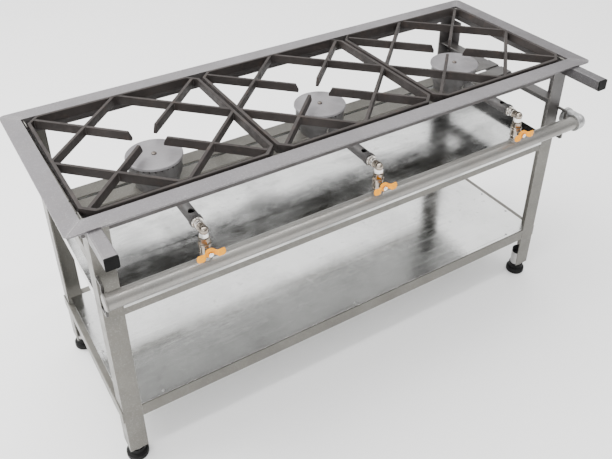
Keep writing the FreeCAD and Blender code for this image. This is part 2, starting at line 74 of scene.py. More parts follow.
# Colours that several finishes share
BARE_STEEL = (0.66, 0.645, 0.62)
PAINT_SPECK = (0.70, 0.70, 0.71)
PAINT_PIT = (0.07, 0.065, 0.06)
# Painted shade at the upper right, beside the right-hand leg
RIGHT_SHADE_DARK = (0.030, 0.026, 0.028)
# Painted shade inside the top frame
SKIRT_SHADE_DARK = (0.050, 0.044, 0.042)
FRESH_GRIND = (0.55, 0.54, 0.53)
SEAM_SHADOW = (0.10, 0.095, 0.09)
ZINC_STAIN = (0.40, 0.40, 0.395)
ZINC_DROP = (0.34, 0.335, 0.33)
ZINC_CLOUD = (0.10, 0.10, 0.098)
ZINC_SHADE = (0.14, 0.14, 0.138)
# Painted shade at the drip tray's right end
HEM_SHADE_DARK = (0.020, 0.018, 0.018)
WELD_SCALE = (0.05, 0.045, 0.04)


# ---------------------------------------------------------------- materials
class Graph:
    """A material's node tree with short helpers for procedural detail."""

    def __init__(self, name, metallic, roughness):
        self.material = bpy.data.materials.new(name)
        self.material.use_nodes = True
        self.tree = self.material.node_tree
        self.shader = self.tree.nodes["Principled BSDF"]
        self.shader.inputs["Metallic"].default_value = metallic
        self.shader.inputs["Roughness"].default_value = roughness
        self.coord = self.tree.nodes.new("ShaderNodeTexCoord").outputs["Object"]
        self.height = None

    def link(self, a, b):
        """Connects one socket to another."""
        self.tree.links.new(a, b)

    def mapped(self, scale):
        """The object's own coordinates, stretched by a factor along each axis."""
        node = self.tree.nodes.new("ShaderNodeMapping")
        node.inputs["Scale"].default_value = scale
        self.link(self.coord, node.inputs["Vector"])
        return node.outputs["Vector"]

    def noise(self, scale, detail=4.0, rough=0.55, stretch=None, distortion=0.0):
        """Fractal noise, between 0 and 1."""
        node = self.tree.nodes.new("ShaderNodeTexNoise")
        node.inputs["Scale"].default_value = scale
        node.inputs["Detail"].default_value = detail
        node.inputs["Roughness"].default_value = rough
        node.inputs["Distortion"].default_value = distortion
        self.link(self.mapped(stretch) if stretch else self.coord, node.inputs["Vector"])
        return node.outputs["Fac"]

    def cells(self, scale):
        """A random grey for each crystal-like cell."""
        node = self.tree.nodes.new("ShaderNodeTexVoronoi")
        node.inputs["Scale"].default_value = scale
        self.link(self.coord, node.inputs["Vector"])
        grey = self.tree.nodes.new("ShaderNodeSeparateColor")
        self.link(node.outputs["Color"], grey.inputs["Color"])
        return grey.outputs["Red"]

    def spread(self, value, low, high, start=0.3, stop=0.7):
        """Maps start..stop onto low..high and clamps what lies outside."""
        node = self.tree.nodes.new("ShaderNodeMapRange")
        node.inputs["From Min"].default_value = start
        node.inputs["From Max"].default_value = stop
        node.inputs["To Min"].default_value = low
        node.inputs["To Max"].default_value = high
        self.link(value, node.inputs["Value"])
        return node.outputs["Result"]

    def ramp(self, value, stops):
        """Colour of a value from (place, colour) stops."""
        node = self.tree.nodes.new("ShaderNodeValToRGB")
        ramp = node.color_ramp
        while len(ramp.elements) < len(stops):
            ramp.elements.new(0.5)
        for element, (place, colour) in zip(ramp.elements, stops):
            element.position = place
            element.color = (*colour, 1.0)
        self.link(value, node.inputs["Fac"])
        return node.outputs["Color"]

    def mix(self, factor, a, b):
        """Blends colour a towards colour b by the factor."""
        node = self.tree.nodes.new("ShaderNodeMix")
        node.data_type = "RGBA"
        for socket, value in ((node.inputs[0], factor), (node.inputs[6], a), (node.inputs[7], b)):
            if isinstance(value, bpy.types.NodeSocket):
                self.link(value, socket)
            elif isinstance(value, tuple):
                socket.default_value = (*value, 1.0)
            else:
                socket.default_value = value
        return node.outputs[2]

    def maths(self, operation, a, b=0.0):
        """One arithmetic step on two values."""
        node = self.tree.nodes.new("ShaderNodeMath")
        node.operation = operation
        for socket, value in zip(node.inputs, (a, b)):
            if isinstance(value, bpy.types.NodeSocket):
                self.link(value, socket)
            else:
                socket.default_value = value
        return node.outputs[0]

    def edges(self, radius, low, high):
        """Mask of worn edges: where the rounded normal leaves the true one."""
        rounded = self.tree.nodes.new("ShaderNodeBevel")
        rounded.samples = 4
        rounded.inputs["Radius"].default_value = radius
        true = self.tree.nodes.new("ShaderNodeNewGeometry")
        dot = self.tree.nodes.new("ShaderNodeVectorMath")
        dot.operation = "DOT_PRODUCT"
        self.link(rounded.outputs["Normal"], dot.inputs[0])
        self.link(true.outputs["Normal"], dot.inputs[1])
        bare = self.maths("SUBTRACT", 1.0, dot.outputs["Value"])
        chips = self.noise(140.0, 5.0, 0.65)
        worn = self.maths("MULTIPLY", bare, self.spread(chips, 0.0, 1.0, 0.42, 0.62))
        return self.spread(worn, 0.0, 1.0, low, high)

    def axes(self):
        """The object coordinates one by one."""
        node = self.tree.nodes.new("ShaderNodeSeparateXYZ")
        self.link(self.coord, node.inputs["Vector"])
        return node.outputs

    def facing_down(self):
        """Mask of undersides."""
        normal = self.tree.nodes.new("ShaderNodeNewGeometry").outputs["True Normal"]
        split = self.tree.nodes.new("ShaderNodeSeparateXYZ")
        self.link(normal, split.inputs["Vector"])
        return self.spread(split.outputs["Z"], 1.0, 0.0, *UNDERSIDE)

    def corner_distance(self):
        """Distance inwards from the top frame's sides (x) and from its front and rear (y)."""
        place = self.axes()
        across = self.maths("SUBTRACT", FRAME_HALF_X, self.maths("ABSOLUTE", place["X"]))
        offset = self.maths("ABSOLUTE", self.maths("SUBTRACT", place["Y"], FRAME_MIDDLE_Y))
        return across, self.maths("SUBTRACT", FRAME_HALF_Y, offset), place["Z"]

    def inside_frame(self):
        """Mask of the faces behind the skirt and under the flange, where painted shade goes."""
        across, along, height = self.corner_distance()
        inward = self.spread(self.maths("MINIMUM", across, along), 0.0, 1.0, *BEHIND_SKIRT)
        under = self.spread(height, 1.0, 0.0, *UNDER_FLANGE)
        return self.maths("MULTIPLY", inward, under)

    def mitre_seams(self):
        """Masks of the ground patch and the hairline at the frame's four mitred corners."""
        across, along, _ = self.corner_distance()
        diagonal = self.maths("ABSOLUTE", self.maths("SUBTRACT", across, along))
        corner = self.spread(self.maths("MAXIMUM", across, along), 1.0, 0.0, *FLANGE_END)
        ground = self.maths("MULTIPLY", corner, self.spread(diagonal, 1.0, 0.0, *GROUND_PATCH))
        line = self.maths("MULTIPLY", corner, self.spread(diagonal, 1.0, 0.0, *MITRE_LINE))
        return ground, line

    def bump(self, height, strength, distance):
        """Adds relief on top of the relief so far; the distance is in metres."""
        node = self.tree.nodes.new("ShaderNodeBump")
        node.inputs["Strength"].default_value = strength
        node.inputs["Distance"].default_value = distance
        self.link(height, node.inputs["Height"])
        if self.height is not None:
            self.link(self.height, node.inputs["Normal"])
        self.height = node.outputs["Normal"]

    def done(self, colour, roughness=None, metallic=None):
        """Connects the finished colour, roughness and normal, and returns the material."""
        for name, value in (("Base Color", colour), ("Roughness", roughness),
                            ("Metallic", metallic), ("Normal", self.height)):
            if value is not None:
                self.link(value, self.shader.inputs[name])
        return self.material


def silver_paint(name, dark, light, warm, metallic=0.5, roughness=0.40, frame_inside_shade=False, seams=False,
                 peel=0.12, right_shade=0.0):
    """Satin aluminium paint over mill steel: cloudy tone, fine orange peel, chipped edges.

    A darkening towards the upper right is painted shade; its amount is the last argument.
    A second option paints shade inside the top frame, behind the skirt and under the flange, and
    seams marks its mitred corners."""
    g = Graph(name, metallic, roughness)
    cloud = g.noise(5.0, 6.0, 0.6)
    tone = g.ramp(cloud, [(0.30, dark), (0.70, light)])
    streaks = g.noise(26.0, 4.0, 0.6, stretch=(0.35, 1.0, 1.6))
    tone = g.mix(g.spread(streaks, 0.0, 0.40, 0.45, 0.75), tone, warm)
    specks = g.noise(420.0, 2.0, 0.5)
    tone = g.mix(g.spread(specks, 0.0, 0.14, 0.55, 0.75), tone, PAINT_SPECK)
    pits = g.noise(160.0, 3.0, 0.5)
    tone = g.mix(g.spread(pits, 0.0, 0.35, 0.66, 0.74), tone, PAINT_PIT)
    painted_shade = None
    # Painted shade: darker towards the upper right, at the right end above the pipe
    if right_shade:
        place = g.axes()
        painted_shade = g.maths("MULTIPLY", g.spread(place["X"], 0.0, 1.0, *SHADE_SIDE_X),
                       g.spread(place["Z"], 0.0, 1.0, *SHADE_HEIGHT_Z))
        tone = g.mix(g.maths("MULTIPLY", painted_shade, right_shade), tone, RIGHT_SHADE_DARK)
    wear = g.edges(0.0012, 0.0, 0.45)
    tone = g.mix(g.maths("MULTIPLY", wear, 0.9), tone, BARE_STEEL)
    rough = g.spread(g.noise(34.0, 5.0, 0.6), roughness - 0.08, roughness + 0.12)
    if seams:
        ground, line = g.mitre_seams()
        scuffs = g.spread(g.noise(300.0, 4.0, 0.6, stretch=(1.0, 0.12, 1.0)), 0.3, 1.0)
        tone = g.mix(g.maths("MULTIPLY", ground, g.maths("MULTIPLY", scuffs, 0.08)), tone,
                     FRESH_GRIND)
        tone = g.mix(g.maths("MULTIPLY", line, 0.28), tone, SEAM_SHADOW)
        g.bump(line, -0.25, 0.0006)
    # Painted shade: darkens the inside of the top frame in patches, and makes it rougher there
    if frame_inside_shade:
        patchy = g.spread(g.noise(22.0, 6.0, 0.62), 0.72, 1.0)
        painted_shade = g.maths("MULTIPLY", g.inside_frame(), patchy)
        tone = g.mix(painted_shade, tone, SKIRT_SHADE_DARK)
        rough = g.maths("ADD", rough, g.maths("MULTIPLY", painted_shade, 0.22))
    g.bump(g.noise(230.0, 3.0, 0.5), peel, 0.0006)
    g.bump(g.noise(28.0, 3.0, 0.5), peel, 0.0010)
    # Less metallic shine where the painted shade lies
    shine = None
    if painted_shade is not None:
        shine = g.maths("MULTIPLY", g.maths("SUBTRACT", 1.0, painted_shade), metallic)
    return g.done(tone, rough, shine)


def galvanised(name, dark, light, roughness, waves=0.004, spangle_share=0.10, clouds_and_shade=0.0):
    """Zinc-coated sheet: faint crystal spangle, rolling streaks, buckles that bend reflections.

    One option darkens it in random clouds, and adds painted shade: a black band at the fold at its
    right end, and a darker underside."""
    g = Graph(name, 1.0, roughness)
    spangle = g.maths("ADD", g.maths("MULTIPLY", g.cells(60.0), 0.55),
                      g.maths("MULTIPLY", g.cells(170.0), 0.45))
    cloud = g.noise(2.6, 5.0, 0.58)
    blend = g.maths("ADD", g.maths("MULTIPLY", spangle, spangle_share),
                    g.maths("MULTIPLY", cloud, 1.0 - spangle_share))
    tone = g.ramp(blend, [(0.30, dark), (0.66, light)])
    stain = g.noise(4.2, 7.0, 0.66, stretch=(1.0, 0.7, 1.0), distortion=0.4)
    tone = g.mix(g.spread(stain, 0.0, 0.45, 0.50, 0.74), tone, ZINC_STAIN)
    drops = g.noise(46.0, 3.0, 0.5)
    tone = g.mix(g.spread(drops, 0.0, 0.30, 0.63, 0.72), tone, ZINC_DROP)
    if clouds_and_shade:
        clouds = g.spread(g.noise(5.2, 4.0, 0.55, stretch=(0.8, 1.3, 1.0), distortion=0.3),
                          0.0, clouds_and_shade, 0.47, 0.66)
        tone = g.mix(clouds, tone, ZINC_CLOUD)
        # Painted shade: a black band along the fold at the tray's right end
        hem_shade = g.spread(g.axes()["X"], 0.0, 0.92, *HEM_SHADE_SPAN)
        tone = g.mix(hem_shade, tone, HEM_SHADE_DARK)
        # Painted shade: undersides darker
        tone = g.mix(g.maths("MULTIPLY", g.facing_down(), 0.75), tone, ZINC_SHADE)
    rolling = g.noise(90.0, 4.0, 0.6, stretch=(0.03, 1.0, 1.0))
    rough = g.spread(rolling, roughness - 0.03, roughness + 0.05)
    rough = g.maths("ADD", rough, g.spread(spangle, -0.02, 0.02, 0.1, 0.9))
    rough = g.maths("ADD", rough, g.spread(g.noise(7.0, 5.0, 0.6), -0.02, 0.10))
    g.bump(g.noise(2.2, 2.0, 0.45), 0.8, waves)
    g.bump(spangle, 0.03, 0.0002)
    return g.done(tone, rough)


def cast_coating(name, dark, light, rust, roughness, metallic=0.0, grain=0.5, bare=0.30,
                 specular=0.5):
    """Rough cast or scaled iron with a thin heat-resistant coat."""
    g = Graph(name, metallic, roughness)
    g.shader.inputs["Specular IOR Level"].default_value = specular
    tone = g.ramp(g.noise(14.0, 7.0, 0.62), [(0.30, dark), (0.72, light)])
    tone = g.mix(g.spread(g.noise(38.0, 6.0, 0.65), 0.0, 0.5, 0.54, 0.72), tone, rust)
    wear = g.edges(0.0012, 0.0, 0.5)
    tone = g.mix(g.maths("MULTIPLY", wear, 0.8), tone, (bare, bare * 0.94, bare * 0.9))
    rough = g.spread(g.noise(60.0, 5.0, 0.6), roughness - 0.10, roughness + 0.14)
    g.bump(g.noise(520.0, 4.0, 0.6), grain, 0.0004)
    g.bump(g.noise(75.0, 4.0, 0.6), grain * 0.6, 0.0009)
    return g.done(tone, rough)


def plated(name, colour, stain, roughness):
    """Nickel or zinc plate with finger marks and light scratches."""
    g = Graph(name, 1.0, roughness)
    marks = g.noise(90.0, 5.0, 0.6)
    tone = g.mix(g.spread(marks, 0.0, 0.6, 0.50, 0.78), colour, stain)
    rough = g.spread(g.noise(150.0, 4.0, 0.6), roughness - 0.05, roughness + 0.14)
    g.bump(g.noise(700.0, 2.0, 0.5), 0.03, 0.0002)
    return g.done(tone, rough)


def moulded(name, colour, light, roughness, grain=0.15, bare=None, specular=0.5):
    """Rubber, plastic or powder coat with a fine grain, dusty patches and rubbed edges."""
    g = Graph(name, 0.0, roughness)
    g.shader.inputs["Specular IOR Level"].default_value = specular
    tone = g.mix(g.spread(g.noise(45.0, 5.0, 0.6), 0.0, 0.6, 0.45, 0.75), colour, light)
    if bare:
        tone = g.mix(g.maths("MULTIPLY", g.edges(0.0008, 0.0, 0.5), 0.7), tone, bare)
    rough = g.spread(g.noise(80.0, 4.0, 0.6), roughness - 0.06, roughness + 0.10)
    g.bump(g.noise(900.0, 2.0, 0.5), grain, 0.0003)
    return g.done(tone, rough)


def weld_metal(name, dark, light, metallic):
    """Weld bead under paint, with dark scale in places."""
    g = Graph(name, metallic, 0.42)
    tone = g.ramp(g.noise(60.0, 5.0, 0.6), [(0.35, dark), (0.7, light)])
    scale = g.spread(g.noise(240.0, 3.0, 0.6), 0.0, 0.5, 0.6, 0.7)
    tone = g.mix(scale, tone, WELD_SCALE)
    g.bump(g.noise(400.0, 3.0, 0.6), 0.3, 0.0004)
    return g.done(tone, g.spread(g.noise(90.0), 0.34, 0.58))


FINISH = {
    # The frame and leg paints carry painted shade at the upper right; the frame paint also inside
    # its skirt
    "frame_paint": silver_paint("frame_paint_m", (0.142, 0.134, 0.141), (0.192, 0.183, 0.191),
                                (0.17, 0.16, 0.154), metallic=0.6, roughness=0.38, frame_inside_shade=True,
                                seams=True, right_shade=0.45),
    "leg_paint": silver_paint("leg_paint_m", (0.112, 0.108, 0.095), (0.170, 0.164, 0.146),
                              (0.150, 0.135, 0.115), metallic=0.6, roughness=0.36, right_shade=0.85),
    "pipe_paint": silver_paint("pipe_paint_m", (0.21, 0.204, 0.192), (0.29, 0.283, 0.265),
                               (0.25, 0.225, 0.195), metallic=0.7, roughness=0.36, peel=0.01),
    "galvanised_sheet": galvanised("galvanised_sheet_m", (0.56, 0.565, 0.56),
                                   (0.80, 0.805, 0.795), 0.13),
    "galvanised_fitting": galvanised("galvanised_fitting_m", (0.34, 0.345, 0.34),
                                     (0.54, 0.54, 0.54), 0.42, waves=0.0002, spangle_share=0.5),
    "grate_iron": cast_coating("grate_iron_m", (0.020, 0.017, 0.016), (0.038, 0.032, 0.030),
                               (0.058, 0.040, 0.032), 0.60, bare=0.10, specular=0.2),
    "burner_iron": cast_coating("burner_iron_m", (0.055, 0.053, 0.053), (0.105, 0.101, 0.100),
                                (0.10, 0.08, 0.068), 0.50, metallic=0.3, grain=0.35,
                                specular=0.35),
    "burner_cap_paint": cast_coating("burner_cap_paint_m", (0.165, 0.158, 0.165),
                                     (0.225, 0.217, 0.225), (0.19, 0.178, 0.17), 0.46,
                                     metallic=0.35, grain=0.18, bare=0.4),
    "bright_steel": plated("bright_steel_m", (0.80, 0.79, 0.77), (0.50, 0.47, 0.43), 0.22),
    "fitting_chrome": plated("fitting_chrome_m", (0.34, 0.30, 0.255), (0.17, 0.13, 0.10), 0.15),
    "sleeve_steel": plated("sleeve_steel_m", (0.50, 0.49, 0.48), (0.34, 0.31, 0.29), 0.36),
    "rivet_aluminium": plated("rivet_aluminium_m", (0.42, 0.42, 0.42), (0.25, 0.24, 0.23), 0.40),
    "handle_orange": moulded("handle_orange_m", (0.90, 0.34, 0.001), (0.95, 0.43, 0.006), 0.48,
                             grain=0.08, bare=(0.80, 0.58, 0.30), specular=0.18),
    "black_plastic": moulded("black_plastic_m", (0.0035, 0.0035, 0.0035), (0.008, 0.008, 0.0075),
                             0.5, specular=0.08),
    "black_rubber": moulded("black_rubber_m", (0.0035, 0.0035, 0.0035),
                            (0.010, 0.0097, 0.0095), 0.55, grain=0.3, specular=0.16),
}
WELD = weld_metal("weld_metal_m", (0.13, 0.125, 0.115), (0.24, 0.232, 0.215), 0.5)
GRATE_WELD = weld_metal("grate_weld_m", (0.030, 0.026, 0.025), (0.060, 0.052, 0.048), 0.3)
# Painted shade: a near-black coat for the grate ledges under the flange
SHADED_LEDGES = cast_coating("ledge_shade_m", (0.026, 0.023, 0.0225), (0.052, 0.046, 0.045),
                      (0.07, 0.054, 0.046), 0.55, bare=0.16, specular=0.3)
# Painted shade: a darker copy of the silver paint for the right side arm
SHADED_RIGHT_ARM = silver_paint("side_arm_right_m", (0.050, 0.047, 0.050), (0.080, 0.076, 0.080),
                       (0.085, 0.078, 0.072), metallic=0.45, roughness=0.36)
# Painted shade: a darker copy of the silver paint for the pipe straps on the leg fronts
SHADED_STRAP = silver_paint("shaded_strap_m", (0.050, 0.048, 0.046), (0.085, 0.082, 0.078),
                          (0.08, 0.07, 0.06))
TRAY = galvanised("drip_tray_m", (0.50, 0.505, 0.50), (0.76, 0.765, 0.755), 0.13, clouds_and_shade=0.62)
SCREW_STEEL = plated("cap_screw_m", (0.16, 0.14, 0.125), (0.06, 0.05, 0.045), 0.38)
NUT_WHITE = plated("elbow_nut_m", (0.93, 0.925, 0.91), (0.78, 0.76, 0.73), 0.30)
INJECTOR = plated("injector_m", (0.74, 0.71, 0.67), (0.42, 0.37, 0.31), 0.22)
OWN_LOOK = {"grate_ledges": SHADED_LEDGES, "pipe_brackets": SHADED_STRAP, "drip_tray": TRAY,
            "injectors": INJECTOR, "side_arm_right": SHADED_RIGHT_ARM}

for name, part in nodes.items():
    for slot in part.material_slots:
        slot.material = OWN_LOOK.get(name, FINISH[slot.material.name.split(".")[0]])

# ---------------------------------------------------------------- edges of the CAD nodes
# Width of the rounded edge in metres, by the start of the node's name
EDGE_WIDTH = {
    "top_frame": 0.0012, "leg_": 0.0010, "side_arm": 0.0004, "upper_side_rail": 0.0008,
    "burner_rail": 0.0008, "mid_rail": 0.0010, "lower_rail": 0.0010, "drip_tray": 0.00035,
    "lower_shelf": 0.0003, "foot_": 0.0006, "rubber_feet": 0.0012, "grate_": 0.0009,
    "burner_body": 0.0007, "burner_cap": 0.0008, "outlet_elbow": 0.0004, "valve_body": 0.0005,
    "handle_nut": 0.0003, "injectors": 0.0004, "gas_manifold": 0.0005, "valve_bosses": 0.0008,
    "manifold_cap": 0.0006, "inlet_elbow": 0.0010, "pipe_brackets": 0.0007,
    "arm_end_caps": 0.0008,
}
WELD_DISTANCE = 0.00001
SHARP_DEGREES = 32.0


def soften(part, width):
    """Weld split corners, round the sharp edges and even out the shading."""
    weld = part.modifiers.new("weld", "WELD")
    weld.merge_threshold = WELD_DISTANCE
    bevel = part.modifiers.new("edges", "BEVEL")
    bevel.width = width
    bevel.segments = 2
    bevel.limit_method = "ANGLE"
    bevel.angle_limit = math.radians(SHARP_DEGREES)
    bevel.use_clamp_overlap = True
    normals = part.modifiers.new("normals", "WEIGHTED_NORMAL")
    normals.keep_sharp = False
    normals.weight = 80


for name, part in nodes.items():
    for prefix, width in EDGE_WIDTH.items():
        if name.startswith(prefix):
            soften(part, width)
            break

# ---------------------------------------------------------------- pieces
MM = 0.001
TUBE_AXIS_DROP = 9.8 * MM      # from the top of an outlet elbow down to the mixing tube's axis


def add_piece(name, bm, material, body, smooth=60.0):
    """A finished mesh object that rides on a body and takes the finish it is given."""
    mesh = bpy.data.meshes.new(name)
    bmesh.ops.recalc_face_normals(bm, faces=bm.faces[:])
    for face in bm.faces:
        face.smooth = True
    sharp = math.radians(smooth)
    for edge in bm.edges:
        edge.smooth = len(edge.link_faces) != 2 or edge.calc_face_angle() < sharp
    bm.to_mesh(mesh)
    bm.free()
    mesh.materials.append(material)
    obj = bpy.data.objects.new(name, mesh)
    scene.collection.objects.link(obj)
    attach(obj, body)
    return obj


def skin(bm, rings, closed_path=False):
    """Faces between rings of equal length, capped at both ends unless the path is closed."""
    rows = [[bm.verts.new(point) for point in ring] for ring in rings]
    pairs = list(zip(rows, rows[1:]))
    if closed_path:
        pairs.append((rows[-1], rows[0]))
    for a, b in pairs:
        for i in range(len(a)):
            j = (i + 1) % len(a)
            bm.faces.new((a[i], a[j], b[j], b[i]))
    if not closed_path:
        bm.faces.new(rows[0])
        bm.faces.new(list(reversed(rows[-1])))


def square_to(axis):
    """The axis as a unit vector, and two unit vectors square to it."""
    axis = Vector(axis).normalized()
    u = axis.orthogonal().normalized()
    return axis, u, axis.cross(u)


def around(centre, u, w, radius, steps):
    """Points of a circle about the centre in the plane of u and w."""
    points = []
    for k in range(steps):
        angle = 2 * math.pi * k / steps
        points.append(centre + (u * math.cos(angle) + w * math.sin(angle)) * radius)
    return points


def lathe(bm, profile, origin, axis, steps=40):
    """Turns (radius, distance along the axis) points about the axis through the origin."""
    axis, u, w = square_to(axis)
    rings = []
    for k in range(steps):
        angle = 2 * math.pi * k / steps
        out = u * math.cos(angle) + w * math.sin(angle)
        rings.append([Vector(origin) + out * r + axis * d for r, d in profile])
    skin(bm, rings, closed_path=True)


def bead(bm, points, radius, closed=False, steps=8):
    """A weld bead along the points, with the ripples that each drop of metal leaves."""
    rings_per_radius = 2.2
    ripple = 0.16
    swell = 0.06
    tip_size = 0.35
    points = [Vector(p) for p in points]
    if closed:
        points.append(points[0])
    lengths = [(b - a).length for a, b in zip(points, points[1:])]
    total = sum(lengths)
    count = max(6, int(total / radius * rings_per_radius))
    rings = []
    for i in range(count if closed else count + 1):
        goal = total * i / count
        k = 0
        while k < len(lengths) - 1 and goal > lengths[k]:
            goal -= lengths[k]
            k += 1
        along, u, w = square_to(points[k + 1] - points[k])
        size = radius * (1.0 - ripple + ripple * abs(math.sin(i * 1.35))
                         + swell * math.sin(i * 0.37))
        if not closed:
            size *= tip_size + (1.0 - tip_size) * min(1.0, 3.0 * min(i, count - i) / count)
        rings.append(around(points[k] + along * goal, u, w, size, steps))
    skin(bm, rings, closed_path=closed)


def circle(centre, axis, radius):
    """Points of a circle square to the axis."""
    _, u, w = square_to(axis)
    return around(Vector(centre), u, w, radius, 28)


def middle(node, axis):
    """Middle of a CAD node's box along one axis."""
    low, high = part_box(node)
    return (low[axis] + high[axis]) / 2


def make_handle(site):
    """Butterfly handle: a hub on the stem, and two wings that sweep forward and flare."""
    stations = 56
    ring_steps = 16
    hub_reach = 6.5          # the wings start to sweep here, in mm from the stem
    sweep_length = 8.5
    sweep_depth = 7.6
    bend_back = 1.6          # how far the tips come back again
    half_height = 8.2
    waist = 1.9              # how much lower the wing is beside the hub
    arch_height = 3.6
    tip_length = 4.6
    half_thickness = 2.1
    node = "valve_handle_" + site
    low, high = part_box(node)
    stem = Vector((middle(node, 0), 0, middle(node, 2)))
    half_span = (high[0] - low[0]) / 2
    back = high[1]
    plate_middle = back - 4.7 * MM
    bm = bmesh.new()
    rings = []
    for i in range(stations + 1):
        u = -1.0 + 2.0 * i / stations
        reach = abs(u) * half_span / MM
        rise = min(max((reach - hub_reach) / sweep_length, 0.0), 1.0)
        sweep = (sweep_depth * rise * rise * (3.0 - 2.0 * rise)
                 - bend_back * max(reach - 18.0, 0.0) / 12.0)
        tall = half_height - waist * math.exp(-((reach - 10.5) / 3.4) ** 2)
        arch = arch_height * math.exp(-(reach / 12.0) ** 2)
        end = max(0.0, (reach - (half_span / MM - tip_length)) / tip_length)
        tall *= math.sqrt(max(1.0 - end * end, 0.012))
        thick = half_thickness * (1.0 - 0.45 * end * end)
        centre = Vector((stem.x + u * half_span, plate_middle - sweep * MM,
                         stem.z + arch * MM))
        ring = []
        for j in range(ring_steps):
            angle = 2 * math.pi * j / ring_steps
            c, d = math.cos(angle), math.sin(angle)
            ring.append(centre + Vector((0.0, math.copysign(abs(c) ** 0.6, c) * thick * MM,
                                         math.copysign(abs(d) ** 0.75, d) * tall * MM)))
        rings.append(ring)
    skin(bm, rings)
    lathe(bm, [(3.1 * MM, 0.0), (7.4 * MM, 0.0), (8.3 * MM, 0.9 * MM), (8.3 * MM, 6.6 * MM),
               (7.5 * MM, 7.6 * MM), (6.0 * MM, 7.6 * MM), (5.6 * MM, 6.6 * MM),
               (3.1 * MM, 6.6 * MM)], (stem.x, back, stem.z), (0, -1, 0))
    handle = add_piece("butterfly_" + site, bm, FINISH["handle_orange"], "valve_" + site,
                       45.0)
    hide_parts(node)


def make_collars(site):
    """Machined collars and thread ridges on a valve and its elbow."""
    inner_radius = 11.4 * MM       # inside the valve's barrel
    chamfer = 0.4 * MM
    thread_root = 7.6 * MM
    half_ridge = 0.7 * MM
    x, pipe_y = middle("valve_body_" + site, 0), middle("gas_manifold", 1)
    low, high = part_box("valve_body_" + site)
    bm = bmesh.new()
    for height, radius, width in ((high[2] - 2.6 * MM, 12.9, 3.6),
                                  (high[2] - 7.0 * MM, 12.35, 1.2),
                                  (low[2] + 14.0 * MM, 12.6, 2.6)):
        rim, half = radius * MM, width / 2 * MM
        lathe(bm, [(inner_radius, -half), (rim - chamfer, -half), (rim, -half + chamfer),
                   (rim, half - chamfer), (rim - chamfer, half), (inner_radius, half)],
              (x, pipe_y, height), (0, 0, 1))
    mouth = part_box("outlet_elbow_" + site)[1]
    tube_z = mouth[2] - TUBE_AXIS_DROP
    for k in range(4):
        lathe(bm, [(thread_root, -half_ridge), (8.7 * MM, 0.0), (thread_root, half_ridge)],
              (x, mouth[1] - (1.4 + 1.6 * k) * MM, tube_z), (0, 1, 0))
    for k in range(3):
        lathe(bm, [(thread_root, -half_ridge), (8.5 * MM, 0.0), (thread_root, half_ridge)],
              (x, pipe_y, high[2] + (13.0 + 1.5 * k) * MM), (0, 0, 1))
    add_piece("valve_collars_" + site, bm, FINISH["fitting_chrome"], "stand",
              40.0)


def make_elbow_nut(site):
    """White-plated lock nut under the elbow's bend: a hexagon with turned corners."""
    ring_steps = 24
    below_tube = 15.0 * MM
    half_side = math.pi / 6
    x, pipe_y = middle("valve_body_" + site, 0), middle("gas_manifold", 1)
    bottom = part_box("outlet_elbow_" + site)[1][2] - TUBE_AXIS_DROP - below_tube
    bm = bmesh.new()
    rings = []
    for height, corner in ((0.0, 8.8), (1.1, 9.9), (9.4, 9.9), (10.5, 8.8)):
        centre = Vector((x, pipe_y, bottom + height * MM))
        ring = []
        for k in range(ring_steps):
            angle = 2 * math.pi * k / ring_steps
            flat = math.cos(half_side) / math.cos((angle % (math.pi / 3)) - half_side)
            out = Vector((math.cos(angle), math.sin(angle), 0.0))
            ring.append(centre + out * corner * flat * MM)
        rings.append(ring)
    skin(bm, rings)
    add_piece("elbow_nut_" + site, bm, NUT_WHITE, "stand", 25.0)


def make_grate_welds(site):
    """Small beads where the grate's flat bars meet."""
    thick = 7.0 * MM                # of the flat bars
    diamond = 200.0 * MM            # from the grate's middle to the diamond's points
    corner_cut = 24.0 * MM          # taken off each corner of the square
    sunk = 0.5 * MM
    root = math.sqrt(0.5)
    low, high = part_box("grate_" + site)
    cx, cy = (low[0] + high[0]) / 2, (low[1] + high[1]) / 2
    half = (high[0] - low[0]) / 2
    near = diamond / math.sqrt(2.0) - thick / 2
    inner = half - thick
    chamfer = (2 * half - corner_cut) / math.sqrt(2.0) - thick
    spots = []
    for sx in (-1, 1):
        for sy in (-1, 1):
            for along in (near, near + thick, chamfer):
                for across in (-thick / 2, thick / 2):
                    spots.append((sx * (along * root - across * root),
                                  sy * (along * root + across * root)))
            spots.append((sx * inner, sy * ((near + thick) / root - inner)))
            spots.append((sx * ((near + thick) / root - inner), sy * inner))
    for s in (-1, 1):
        spots.append((s * (near / root - sunk), 0.0))
        spots.append((0.0, s * (near / root - sunk)))
    bm = bmesh.new()
    for x, y in spots:
        bead(bm, [(cx + x, cy + y, low[2] + 1.2 * MM), (cx + x, cy + y, high[2] - 2.6 * MM)],
             2.1 * MM, steps=7)
    add_piece("grate_welds_" + site, bm, GRATE_WELD, "grate_" + site, 50.0)


